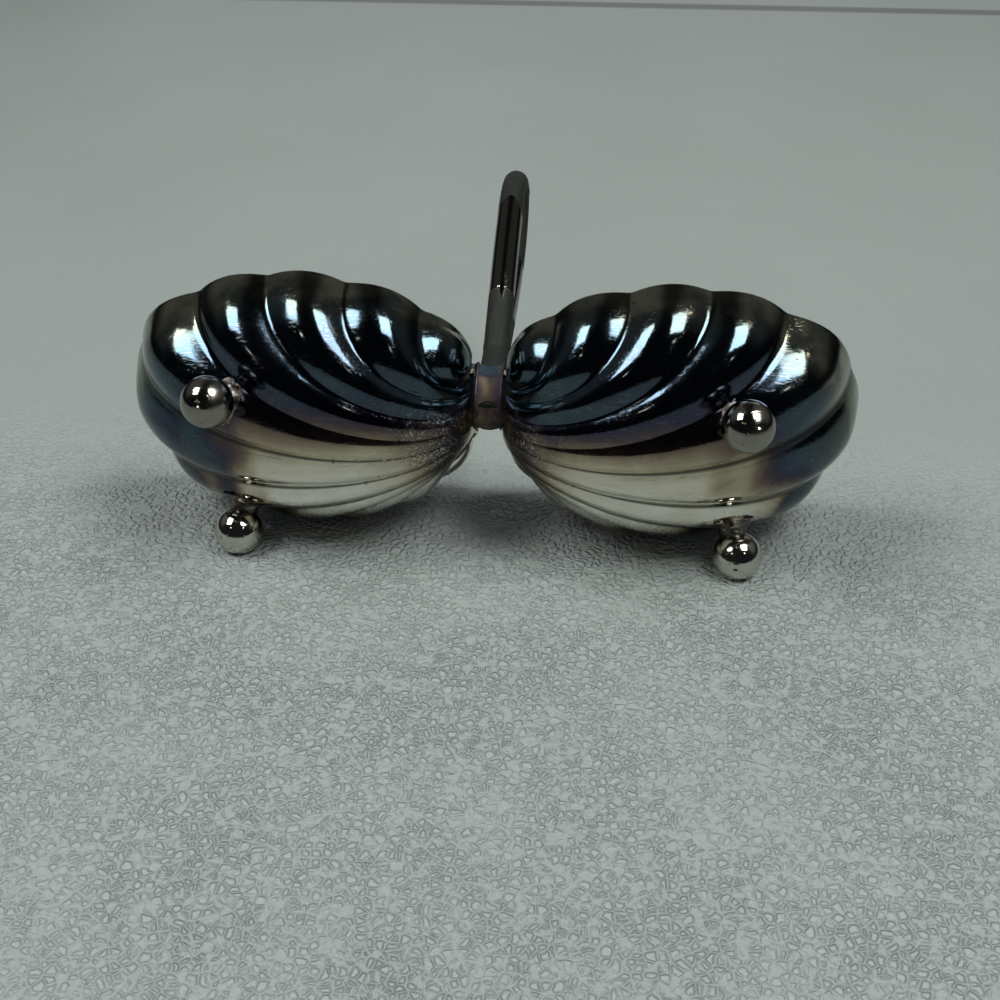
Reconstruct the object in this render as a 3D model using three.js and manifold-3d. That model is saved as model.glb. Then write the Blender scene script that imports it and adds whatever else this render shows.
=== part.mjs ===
// Twin-shell bonbon dish: two swirl-fluted scallop bowls joined by a saddle, with a
// teardrop loop handle between them and four ball feet. Millimetres, +Z up, X along
// both bowls, origin on the floor under the middle of the saddle.

import * as THREE from 'three';
import { mergeVertices } from 'three/addons/utils/BufferGeometryUtils.js';
import Module from 'manifold-3d';

const wasm = await Module();
wasm.setup();

// Scallop bowl, one of a mirrored pair
const BOWL_START = 3.5;          // from the middle of the dish to the bowl's hinge end
const BOWL_LENGTH = 86.7;        // from the hinge end to the outermost pair of rim cusps
const BOWL_HALF_WIDTH = 35.2;    // at the widest pair of rim cusps
const SHEET = 1.0;               // thickness of the pressed sheet
// Rim cusps on one side, hinge end first: share of length, share of half width
const RIM_CUSPS = [
  [0.013, 0.330], [0.149, 0.733], [0.360, 0.960],
  [0.581, 1.000], [0.795, 0.827], [1.000, 0.347],
];
const LOBE_BULGE = 0.19;         // bulge of a lobe over its own width
const LOBE_BULGE_AT_HINGE = 0.06;
const FULL_BULGE_FROM = 0.45;    // share of the way to the rim at which the bulge is full
const BELLY_DROP = 43.5;         // how far the deepest groove is pulled below the rim
const WALL_DROP = 20.4;          // the same beside the hinge
const WALL_LEAN = 7.9;           // how far the outer wall leans in below the rim
const RIM_WALL_LEAN = -1.3;      // the same beside the hinge
const HINGE_PLUNGE = 83.8;       // degrees from level at which the end wall starts down
const HINGE_REACH = 24.9;        // how far the grooves hold that direction
const HINGE_REACH_GAIN = 2.5;    // extra reach of the deepest groove
const GROOVE_EASE = 5.3;         // groove length at which its pull is about 70 %
const SWIRL_CENTRE = 51.2;       // from the hinge end to the point the walls face
const LOBE_STEPS = 5;
const GROOVE_STEPS = 16;

// Saddle that joins the two bowls
const THROAT_HALF_WIDTH = 8.55;
const THROAT_DEPTH = 12.9;
const SADDLE_HALF_LENGTH = 6.4;
const SADDLE_SHEET = 1.2;
const ARC_STEPS = 22;

// Handle
const ROD_DIAMETER = 7.1;
const STEM_DIAMETER = 7.8;
const STEM_FOOT_DIAMETER = 10.4;
const STEM_FLARE_HEIGHT = 14;
const STEM_STEPS = 8;            // rings in the flared foot, and again in the domed top
const LOOP_START = 10.6;         // above the rim, where the two strands part
const LOOP_HEIGHT = 74;
const LOOP_HALF_WIDTH = 9.6;     // to the middle of the rod
const LOOP_FULLNESS = 0.75;      // lower makes the lower half of the loop fuller
const LOOP_OPENING = 0.16;       // share of half a turn left out where a strand starts
const LOOP_STEPS = 36;
const ROD_SIDES = 12;
const STEM_SIDES = 24;

// Rivet that holds the handle down through the saddle
const RIVET_DIAMETER = 3.0;
const RIVET_LENGTH_IN_STEM = 6;
const RIVET_HEAD_DIAMETER = 6.0;
const RIVET_HEAD_HEIGHT = 0.9;
const RIVET_HEAD_STEPS = 5;

// Ball feet
const BALL_DIAMETER = 12.6;
const WORN_FLAT_DEPTH = 0.15;    // what standing has worn off the bottom of a ball
const DIMPLE_DIAMETER = 1.7;
const DIMPLE_DEPTH = 0.3;
const DIMPLE_TILT = 0.64;        // radians from straight down, towards the side
const DIMPLE_SIDES = 12;
const DIMPLE_STEPS = 8;
const FOOT_LOBE = 4;             // the lobe that carries a foot, hinge end first
// Where each foot was soldered: share across its lobe, share of the way to the rim
const FOOT_SPOTS = {
  right_front: [0.31, 0.705],
  right_back: [0.32, 0.720],
  left_front: [0.32, 0.712],
  left_back: [0.31, 0.715],
};
const FOOT_STAND_OFF = 0.35;     // least space between ball and bowl, filled by the collar
const COLLAR_DIAMETER = 7.4;
const COLLAR_WAIST_FLARE = 0.2;  // widening of the collar half way to the bowl
const COLLAR_FLARE = 0.8;        // the same at the bowl
const COLLAR_ROOT = 1.85;        // how far its blank runs past the skin before it is cut
const BALL_STEPS = 12;
const BALL_SIDES = 24;

// Clearance that soldered pieces keep in the model
const GAP = 0.3;

const LOBES = 2 * RIM_CUSPS.length - 1;
const lerp = THREE.MathUtils.lerp;

// Small helpers

function toSolid(geometry) {
  const clean = geometry.clone();
  clean.deleteAttribute('normal');
  clean.deleteAttribute('uv');
  const merged = mergeVertices(clean, 1e-4);
  return new wasm.Manifold(new wasm.Mesh({
    numProp: 3,
    vertProperties: new Float32Array(merged.attributes.position.array),
    triVerts: new Uint32Array(merged.index.array),
  }));
}

function toGeometry(solid) {
  const mesh = solid.getMesh();
  const geometry = new THREE.BufferGeometry();
  const points = new Float32Array(mesh.numVert * 3);
  for (let v = 0; v < mesh.numVert; v += 1) {
    const start = mesh.numProp * v;
    points.set(mesh.vertProperties.subarray(start, start + 3), 3 * v);
  }
  geometry.setAttribute('position', new THREE.BufferAttribute(points, 3));
  geometry.setIndex(new THREE.BufferAttribute(new Uint32Array(mesh.triVerts), 1));
  geometry.computeVertexNormals();
  return geometry;
}

// The same piece on the other side of the dish, with its faces still pointing out
function mirrorX(geometry) {
  const copy = mergeVertices(geometry.clone(), 1e-5);
  copy.scale(-1, 1, 1);
  const index = copy.index.array;
  for (let t = 0; t < index.length; t += 3) {
    [index[t], index[t + 1]] = [index[t + 1], index[t]];
  }
  copy.computeVertexNormals();
  return copy;
}

function mirrorY(geometry) {
  const copy = mirrorX(geometry);
  copy.rotateZ(Math.PI);
  return copy;
}

// Bowl surface. Heights are from the rim plane, and the bowl lies on the +X side.

// Rim cusp of groove 0 to LOBES, from the -Y side of the hinge round to its +Y side
function rimCusp(groove) {
  const near = groove < RIM_CUSPS.length;
  const [along, across] = RIM_CUSPS[near ? groove : LOBES - groove];
  const side = near ? -1 : 1;
  return new THREE.Vector3(BOWL_START + along * BOWL_LENGTH, side * across * BOWL_HALF_WIDTH, 0);
}

// A groove runs from the throat's edge, down the hinge wall and out to its rim cusp
function grooveCurve(groove) {
  const turn = Math.PI * groove / LOBES;
  const side = -Math.cos(turn);
  const deep = Math.sin(turn);
  const start = new THREE.Vector3(BOWL_START, side * THROAT_HALF_WIDTH, -deep * THROAT_DEPTH);
  const end = rimCusp(groove);
  const span = start.distanceTo(end);
  const pull = span / Math.hypot(span, GROOVE_EASE);
  const plunge = THREE.MathUtils.degToRad(HINGE_PLUNGE);
  const reach = pull * (HINGE_REACH + HINGE_REACH_GAIN * deep);
  const leave = start.clone().add(
    new THREE.Vector3(Math.cos(plunge), 0, -Math.sin(plunge) * deep).multiplyScalar(reach));
  const wall = new THREE.Vector3(end.x - BOWL_START - SWIRL_CENTRE, end.y, 0).normalize();
  const lean = pull * lerp(RIM_WALL_LEAN, WALL_LEAN, deep);
  const drop = pull * lerp(WALL_DROP, BELLY_DROP, deep);
  const arrive = end.clone().addScaledVector(wall, -lean).add(new THREE.Vector3(0, 0, -drop));
  return new THREE.CubicBezierCurve3(start, leave, arrive, end);
}

const GROOVES = Array.from({ length: LOBES + 1 }, (_, groove) => grooveCurve(groove));

// Outer skin: each lobe spans two grooves and swells outwards between them
function lobePoint(lobe, across, along) {
  const first = GROOVES[lobe].getPoint(along);
  const second = GROOVES[lobe + 1].getPoint(along);
  const chord = second.clone().sub(first);
  const run = GROOVES[lobe].getTangent(along).add(GROOVES[lobe + 1].getTangent(along));
  const outward = new THREE.Vector3().crossVectors(chord, run).normalize();
  const swell = lerp(LOBE_BULGE_AT_HINGE, LOBE_BULGE, Math.min(along / FULL_BULGE_FROM, 1)) * chord.length();
  return first.addScaledVector(chord, across).addScaledVector(outward, 4 * across * (1 - across) * swell);
}

function skinGrid() {
  const grid = [];
  for (let column = 0; column <= LOBES * LOBE_STEPS; column += 1) {
    const lobe = Math.min(Math.floor(column / LOBE_STEPS), LOBES - 1);
    const across = column / LOBE_STEPS - lobe;
    grid.push(Array.from({ length: GROOVE_STEPS + 1 }, (_, row) =>
      lobePoint(lobe, across, row / GROOVE_STEPS)));
  }
  return grid;
}

function gridNormals(grid) {
  const columns = grid.length - 1;
  const rows = grid[0].length - 1;
  return grid.map((line, c) => line.map((_, r) => {
    const chord = grid[Math.min(c + 1, columns)][r].clone().sub(grid[Math.max(c - 1, 0)][r]);
    const run = grid[c][Math.min(r + 1, rows)].clone().sub(grid[c][Math.max(r - 1, 0)]);
    return chord.cross(run).normalize();
  }));
}

// A closed sheet between two offsets of the outer skin, positive outwards
function sheetSolid(grid, normals, outer, inner) {
  const columns = grid.length;
  const rows = grid[0].length;
  const points = [];
  for (const offset of [outer, inner]) {
    grid.forEach((line, c) => line.forEach((point, r) => {
      const moved = point.clone().addScaledVector(normals[c][r], offset);
      points.push(moved.x, moved.y, moved.z);
    }));
  }
  const at = (layer, c, r) => layer * columns * rows + c * rows + r;
  const faces = [];
  const quad = (a, b, c, d) => faces.push(a, b, c, a, c, d);
  for (let c = 0; c + 1 < columns; c += 1) {
    for (let r = 0; r + 1 < rows; r += 1) {
      quad(at(0, c, r), at(0, c + 1, r), at(0, c + 1, r + 1), at(0, c, r + 1));
      quad(at(1, c, r), at(1, c, r + 1), at(1, c + 1, r + 1), at(1, c + 1, r));
    }
    quad(at(0, c, 0), at(1, c, 0), at(1, c + 1, 0), at(0, c + 1, 0));
    quad(at(0, c, rows - 1), at(0, c + 1, rows - 1), at(1, c + 1, rows - 1), at(1, c, rows - 1));
  }
  for (let r = 0; r + 1 < rows; r += 1) {
    quad(at(0, 0, r), at(0, 0, r + 1), at(1, 0, r + 1), at(1, 0, r));
    quad(at(0, columns - 1, r), at(1, columns - 1, r), at(1, columns - 1, r + 1), at(0, columns - 1, r + 1));
  }
  const geometry = new THREE.BufferGeometry();
  geometry.setAttribute('position', new THREE.Float32BufferAttribute(points, 3));
  geometry.setIndex(faces);
  return toSolid(geometry);
}

// Saddle section: half an ellipse below the rim plane, run along X
function throatOutline(inset) {
  const outline = [];
  for (let step = 0; step <= ARC_STEPS; step += 1) {
    const turn = Math.PI * step / ARC_STEPS;
    outline.push(new THREE.Vector2(
      -(THROAT_HALF_WIDTH - inset) * Math.cos(turn),
      -(THROAT_DEPTH - inset) * Math.sin(turn)));
  }
  return outline;
}

function alongX(shape, halfLength) {
  const geometry = new THREE.ExtrudeGeometry(shape, { depth: 2 * halfLength, bevelEnabled: false });
  geometry.translate(0, 0, -halfLength);
  geometry.rotateX(Math.PI / 2);
  geometry.rotateZ(Math.PI / 2);
  return geometry;
}

// The throat's inside, carried up past the rim, as a cutting block
function throatBlock(inset, halfLength, top) {
  const outline = throatOutline(inset);
  const reach = THROAT_HALF_WIDTH - inset;
  outline.push(new THREE.Vector2(reach, top), new THREE.Vector2(-reach, top));
  return toSolid(alongX(new THREE.Shape(outline), halfLength));
}

function verticalRod(radius, bottom, top) {
  const rod = new THREE.CylinderGeometry(radius, radius, top - bottom, STEM_SIDES);
  rod.rotateX(Math.PI / 2);
  rod.translate(0, 0, (top + bottom) / 2);
  return toSolid(rod);
}

function saddleGeometry() {
  const outline = throatOutline(GAP);
  const inner = throatOutline(GAP + SADDLE_SHEET).reverse();
  const strap = toSolid(alongX(new THREE.Shape([...outline, ...inner]), SADDLE_HALF_LENGTH));
  const hole = verticalRod(RIVET_DIAMETER / 2 + GAP, -THROAT_DEPTH - SADDLE_SHEET, 0);
  return toGeometry(strap.subtract(hole));
}

// Solid of revolution about Z
function turnedUp(profile, sides) {
  const geometry = new THREE.LatheGeometry(profile, sides);
  geometry.rotateX(Math.PI / 2);
  return toSolid(geometry);
}

// Handle: a stem that stands in the saddle and opens into a teardrop loop across the dish
class TeardropLoop extends THREE.Curve {
  getPoint(t, target = new THREE.Vector3()) {
    const start = LOOP_OPENING * Math.PI;
    const turn = lerp(start, 2 * Math.PI - start, t);
    const rise = (1 - Math.cos(turn)) / 2;
    const widest = Math.acos(-LOOP_FULLNESS / (1 + LOOP_FULLNESS));
    const full = Math.sin(widest) * ((1 - Math.cos(widest)) / 2) ** LOOP_FULLNESS;
    const across = Math.sin(turn) * rise ** LOOP_FULLNESS / full * LOOP_HALF_WIDTH;
    return target.set(0, -across, LOOP_START + LOOP_HEIGHT * rise);
  }
}

function stemProfile(bottom, top) {
  const stem = STEM_DIAMETER / 2;
  const foot = STEM_FOOT_DIAMETER / 2;
  const profile = [new THREE.Vector2(0, bottom), new THREE.Vector2(foot, bottom)];
  for (let step = 1; step <= STEM_STEPS; step += 1) {
    const rise = step / STEM_STEPS;
    profile.push(new THREE.Vector2(lerp(foot, stem, 1 - (1 - rise) ** 2), bottom + STEM_FLARE_HEIGHT * rise));
  }
  for (let step = 0; step <= STEM_STEPS; step += 1) {
    const turn = Math.PI / 2 * step / STEM_STEPS;
    profile.push(new THREE.Vector2(stem * Math.cos(turn), top + stem * Math.sin(turn)));
  }
  return profile;
}

function handleGeometry() {
  const section = new THREE.Shape();
  section.absarc(0, 0, ROD_DIAMETER / 2, 0, 2 * Math.PI);
  const loop = toSolid(new THREE.ExtrudeGeometry(section, {
    steps: LOOP_STEPS, curveSegments: ROD_SIDES / 2, bevelEnabled: false, extrudePath: new TeardropLoop(),
  }));
  const stem = turnedUp(stemProfile(-THROAT_DEPTH, LOOP_START + ROD_DIAMETER / 2), STEM_SIDES);
  const top = LOOP_START + LOOP_HEIGHT + ROD_DIAMETER;
  const room = throatBlock(SADDLE_SHEET + 2 * GAP, STEM_FOOT_DIAMETER, top);
  const boreTop = -THROAT_DEPTH + SADDLE_SHEET + RIVET_LENGTH_IN_STEM + GAP;
  const bore = verticalRod(RIVET_DIAMETER / 2 + GAP, -THROAT_DEPTH - GAP, boreTop);
  return toGeometry(stem.intersect(room).add(loop).subtract(bore));
}

function rivetGeometry() {
  const under = -THROAT_DEPTH;
  const shank = RIVET_DIAMETER / 2;
  const head = RIVET_HEAD_DIAMETER / 2;
  const tip = under + SADDLE_SHEET + RIVET_LENGTH_IN_STEM;
  const profile = [new THREE.Vector2(0, under - RIVET_HEAD_HEIGHT)];
  for (let step = 1; step <= RIVET_HEAD_STEPS; step += 1) {
    const turn = Math.PI / 2 * step / RIVET_HEAD_STEPS;
    profile.push(new THREE.Vector2(head * Math.sin(turn), under - RIVET_HEAD_HEIGHT * Math.cos(turn)));
  }
  profile.push(new THREE.Vector2(shank, under), new THREE.Vector2(shank, tip), new THREE.Vector2(0, tip));
  return toGeometry(turnedUp(profile, STEM_SIDES));
}

// Feet, each worked out on the +X, -Y quarter and mirrored into place

// The spot on the skin under a foot, and the skin's outward direction there
function footSpot([across, along]) {
  const step = 0.02;
  const point = lobePoint(FOOT_LOBE, across, along);
  const chord = lobePoint(FOOT_LOBE, across + step, along).sub(point);
  const run = lobePoint(FOOT_LOBE, across, along + step).sub(point);
  return { point, outward: chord.cross(run).normalize() };
}

// Height of all ball centres from the rim plane: low enough for every foot's stand-off
function ballHeight(spots) {
  const reach = BALL_DIAMETER / 2 + FOOT_STAND_OFF;
  return Math.min(...spots.map(({ point, outward }) => point.z + outward.z * reach));
}

function ballCentre({ point, outward }, height) {
  return point.clone().addScaledVector(outward, (height - point.z) / outward.z);
}

function ballProfile(radius, flatDepth) {
  const flatAngle = Math.acos(1 - flatDepth / radius);
  const profile = flatDepth > 0 ? [new THREE.Vector2(0, flatDepth - radius)] : [];
  for (let step = 0; step <= BALL_STEPS; step += 1) {
    const turn = lerp(flatAngle, Math.PI, step / BALL_STEPS);
    const out = step === BALL_STEPS ? 0 : radius * Math.sin(turn);
    profile.push(new THREE.Vector2(out, -radius * Math.cos(turn)));
  }
  return profile;
}

function ballGeometry(centre) {
  const radius = BALL_DIAMETER / 2;
  const pit = new THREE.SphereGeometry(DIMPLE_DIAMETER / 2, DIMPLE_SIDES, DIMPLE_STEPS);
  const reach = radius + DIMPLE_DIAMETER / 2 - DIMPLE_DEPTH;
  pit.translate(0, -reach * Math.sin(DIMPLE_TILT), -reach * Math.cos(DIMPLE_TILT));
  const ball = turnedUp(ballProfile(radius, WORN_FLAT_DEPTH), BALL_SIDES).subtract(toSolid(pit));
  return toGeometry(ball.translate(centre.toArray()));
}

function collarGeometry({ point, outward }, centre, keepOut) {
  const radius = COLLAR_DIAMETER / 2;
  const ballEnd = Math.sqrt((BALL_DIAMETER / 2) ** 2 - radius ** 2);
  const bowlEnd = centre.distanceTo(point) + COLLAR_ROOT;
  const collar = new THREE.LatheGeometry([
    new THREE.Vector2(0, ballEnd),
    new THREE.Vector2(radius, ballEnd),
    new THREE.Vector2(radius + COLLAR_WAIST_FLARE, (ballEnd + bowlEnd) / 2),
    new THREE.Vector2(radius + COLLAR_FLARE, bowlEnd),
    new THREE.Vector2(0, bowlEnd),
  ], BALL_SIDES);
  const lathed = new THREE.Vector3(0, 1, 0);
  const towardsBowl = outward.clone().negate();
  collar.applyQuaternion(new THREE.Quaternion().setFromUnitVectors(lathed, towardsBowl));
  collar.translate(...centre.toArray());
  const ballRoom = turnedUp(ballProfile(BALL_DIAMETER / 2 + GAP, 0), BALL_SIDES).translate(centre.toArray());
  return toGeometry(toSolid(collar).subtract(ballRoom).subtract(keepOut));
}

// Assembly
const silver = new THREE.MeshStandardMaterial({ color: 0x6f6c66, metalness: 1, roughness: 0.14 });
const rimSilver = new THREE.MeshStandardMaterial({ color: 0x8d8a84, metalness: 1, roughness: 0.12 });
const solder = new THREE.MeshStandardMaterial({ color: 0x57534b, metalness: 1, roughness: 0.4 });

const feet = Object.entries(FOOT_SPOTS).map(([place, shares]) => ({ place, spot: footSpot(shares) }));
const ballLevel = ballHeight(feet.map(({ spot }) => spot));

const dish = new THREE.Group();
dish.position.set(0, 0, BALL_DIAMETER / 2 - WORN_FLAT_DEPTH - ballLevel);

function addPiece(name, geometry, material) {
  const mesh = new THREE.Mesh(geometry, material);
  mesh.name = name;
  dish.add(mesh);
}

const skin = skinGrid();
const skinNormals = gridNormals(skin);
const notch = throatBlock(0, SADDLE_HALF_LENGTH + GAP, THROAT_DEPTH);
const bowl = toGeometry(sheetSolid(skin, skinNormals, 0, -SHEET).subtract(notch));
addPiece('shell_right', bowl, silver);
addPiece('shell_left', mirrorX(bowl), silver);

addPiece('bridge_saddle', saddleGeometry(), silver);
addPiece('handle_loop', handleGeometry(), rimSilver);
addPiece('handle_rivet', rivetGeometry(), solder);

const collarRoom = sheetSolid(skin, skinNormals, GAP, -SHEET - COLLAR_ROOT);
for (const { place, spot } of feet) {
  const [side, end] = place.split('_');
  const mirrorSide = side === 'left' ? mirrorX : (piece) => piece;
  const mirrorEnd = end === 'back' ? mirrorY : (piece) => piece;
  const centre = ballCentre(spot, ballLevel);
  addPiece(`foot_ball_${place}`, mirrorSide(mirrorEnd(ballGeometry(centre))), rimSilver);
  addPiece(`foot_collar_${place}`, mirrorSide(mirrorEnd(collarGeometry(spot, centre, collarRoom))), solder);
}

export default dish;
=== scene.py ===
"""Dresses the twin-shell bonbon dish: pressed scallop bowls, saddle, loop handle and ball feet.

Metres, in the row frame: +Z up, X along both bowls, the ball feet on Z = 0.
The dish is seen lying on its +Y side on a pale grained sheet, from below and in front.
"""
from __future__ import annotations

import logging
import math
from dataclasses import dataclass
from enum import Enum

import bmesh
import bpy
import numpy as np
from mathutils import Matrix, Vector
from mathutils.bvhtree import BVHTree

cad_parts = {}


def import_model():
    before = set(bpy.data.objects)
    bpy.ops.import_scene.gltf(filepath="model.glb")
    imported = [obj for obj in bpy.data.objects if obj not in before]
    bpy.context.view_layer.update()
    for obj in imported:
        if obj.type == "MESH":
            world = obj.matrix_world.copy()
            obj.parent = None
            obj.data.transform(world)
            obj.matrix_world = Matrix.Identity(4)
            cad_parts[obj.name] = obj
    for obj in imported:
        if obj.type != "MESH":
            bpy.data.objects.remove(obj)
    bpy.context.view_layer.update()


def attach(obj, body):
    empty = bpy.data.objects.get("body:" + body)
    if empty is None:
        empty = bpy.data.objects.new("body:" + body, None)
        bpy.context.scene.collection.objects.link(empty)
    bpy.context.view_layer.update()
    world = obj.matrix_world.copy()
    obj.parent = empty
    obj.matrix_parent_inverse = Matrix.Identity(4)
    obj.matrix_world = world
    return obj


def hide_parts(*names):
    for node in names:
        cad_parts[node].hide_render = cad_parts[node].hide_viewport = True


LOG = logging.getLogger("bonbon_dish")
MM = 0.001
BODY = "root"

Array = np.ndarray
Faces = list[tuple[int, ...]]
Triple = tuple[float, float, float]
Material = bpy.types.Material
Piece = bpy.types.Object
Socket = bpy.types.NodeSocket

# Linear colour of silver under a sulphide film, from clean to thick
FILM_COLOURS = (
    (0.00, (0.84, 0.82, 0.74)),
    (0.16, (0.76, 0.71, 0.56)),
    (0.32, (0.50, 0.43, 0.30)),
    (0.46, (0.24, 0.185, 0.135)),
    (0.58, (0.105, 0.080, 0.085)),
    (0.70, (0.052, 0.056, 0.090)),
    (0.84, (0.062, 0.095, 0.118)),
    (0.92, (0.085, 0.100, 0.088)),
    (1.00, (0.32, 0.315, 0.24)),
)


class Slot(Enum):
    """Material slots of the record."""

    SHELL = "shell_silver"
    CAST = "cast_silver"
    SOLDER = "solder"


class Side(Enum):
    """The two mirror halves of the dish, with the sign of their X."""

    RIGHT = 1
    LEFT = -1


# Arrays and meshes


def smoothstep(low: float, high: float, value: Array) -> Array:
    """Rises smoothly from 0 where value is low to 1 where it is high."""
    share = np.clip((value - low) / (high - low), 0.0, 1.0)
    return share * share * (3.0 - 2.0 * share)


def unit(vectors: Array) -> Array:
    """Scales vectors along the last axis to length 1."""
    return vectors / np.maximum(np.linalg.norm(vectors, axis=-1, keepdims=True), 1e-12)


def ripple(points: Array, wavelength: float, seed: int, waves: int = 7) -> Array:
    """Soft seeded unevenness, as hand work leaves it.

    Args:
        points: positions in millimetres, any leading shape.
        wavelength: typical distance between crests, in millimetres.
        seed: picks the pattern.
        waves: number of plane waves added up.

    Returns:
        One number from about -1 to 1 for each point.
    """
    rng = np.random.default_rng(seed)
    total = np.zeros(points.shape[:-1])
    for _ in range(waves):
        heading = unit(rng.normal(size=3))
        pitch = wavelength * rng.uniform(0.7, 1.5)
        total += np.sin(points @ heading * (2.0 * math.pi / pitch) + rng.uniform(0, 2 * math.pi))
    return total / math.sqrt(waves * 2.0)


def grid_quads(columns: int, rows: int, around: bool = False, wrapped: bool = False) -> Faces:
    """Quads of a grid of points stored column by column.

    Args:
        columns: number of columns.
        rows: number of points in a column.
        around: whether the last column joins the first.
        wrapped: whether the last point of each column joins its first.

    Returns:
        Faces as tuples of four indices.
    """
    faces = []
    for c in range(columns if around else columns - 1):
        a, b = c * rows, (c + 1) % columns * rows
        for r in range(rows if wrapped else rows - 1):
            n = (r + 1) % rows
            faces.append((a + r, b + r, b + n, a + n))
    return faces


def end_quads(base: int, ring: int, half: int) -> Faces:
    """Quads that close one end of a folded sheet, whose ring starts at base and folds at half."""
    return [(base + r, base + r + 1, base + ring - 2 - r, base + ring - 1 - r)
            for r in range(half - 1)]


def shifted(faces: Faces, start: int) -> Faces:
    """Faces with their indices moved up by start."""
    return [tuple(index + start for index in face) for face in faces]


def turned(profile: Array, sides: int) -> tuple[Array, Faces]:
    """Turns a profile of (radius, height) about Z into a closed form.

    Args:
        profile: rows of radius and height; the first and last radius are 0.
        sides: number of columns round the axis.

    Returns:
        Points, and faces as index tuples.
    """
    turn = np.linspace(0, 2 * math.pi, sides, endpoint=False)
    inner = profile[1:-1]
    rows = len(inner)
    points = np.stack([
        np.outer(np.cos(turn), inner[:, 0]).ravel(),
        np.outer(np.sin(turn), inner[:, 0]).ravel(),
        np.tile(inner[:, 1], sides),
    ], axis=1)
    low, high = len(points), len(points) + 1
    points = np.vstack([points, [0, 0, profile[0, 1]], [0, 0, profile[-1, 1]]])
    faces = grid_quads(sides, rows, around=True)
    for c in range(sides):
        a, b = c * rows, (c + 1) % sides * rows
        faces += [(low, b, a), (high, a + rows - 1, b + rows - 1)]
    return points, faces


def tube(spine: Array, radius: Array, first: Array, second: Array, sides: int) -> Array:
    """Rings of points round a line.

    Args:
        spine: points of the line.
        radius: one radius per point, or one for all.
        first: direction, or one per point, in which a ring starts.
        second: direction, or one per point, a quarter turn on.
        sides: number of points in a ring.

    Returns:
        Array of shape (len(spine) * sides, 3), ring by ring.
    """
    around = np.linspace(0, 2 * math.pi, sides, endpoint=False)[None, :, None]
    first, second = (np.broadcast_to(way, spine.shape)[:, None] for way in (first, second))
    radius = np.broadcast_to(radius, len(spine))[:, None, None]
    rings = spine[:, None] + radius * (np.cos(around) * first + np.sin(around) * second)
    return rings.reshape(-1, 3)


def frame_along(axis: Array) -> Array:
    """Makes a frame about an axis.

    Args:
        axis: direction of any length.

    Returns:
        Rows of a right-handed frame whose third row is the axis.
    """
    third = unit(axis)
    helper = np.eye(3)[0] if abs(third[0]) < 0.8 else np.eye(3)[1]
    first = unit(np.cross(helper, third))
    return np.array([first, np.cross(third, first), third])


def make_piece(name: str, points: Array, faces: Faces,
               values: dict[str, Array] | None = None) -> Piece:
    """Makes a smooth mesh object at the origin.

    Args:
        name: the piece's name.
        points: positions in millimetres, one row each.
        faces: tuples of point indices.
        values: float attributes, one number per point or one for all.

    Returns:
        The new object, linked to the scene.
    """
    mesh = bpy.data.meshes.new(name)
    mesh.from_pydata((points * MM).tolist(), [], faces)
    for key, numbers in (values or {}).items():
        attribute = mesh.attributes.new(key, "FLOAT", "POINT")
        numbers = np.broadcast_to(np.asarray(numbers, np.float32).ravel(), len(points))
        attribute.data.foreach_set("value", np.ascontiguousarray(numbers))
    mesh.validate()
    mesh.polygons.foreach_set("use_smooth", [True] * len(mesh.polygons))
    piece = bpy.data.objects.new(name, mesh)
    bpy.context.scene.collection.objects.link(piece)
    return piece


def dress(piece: Piece, finish: Material, node: str = "") -> Piece:
    """Turns a piece's faces outwards, gives it its finish and body, and hides the CAD node it
    stands for.

    Args:
        piece: a closed mesh.
        finish: its material.
        node: the CAD node it stands for, if any.

    Returns:
        The same piece.
    """
    work = bmesh.new()
    work.from_mesh(piece.data)
    bmesh.ops.recalc_face_normals(work, faces=work.faces)
    work.to_mesh(piece.data)
    work.free()
    piece.data.materials.append(finish)
    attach(piece, BODY)
    if node:
        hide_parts(node)
    return piece


# Node trees


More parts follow.
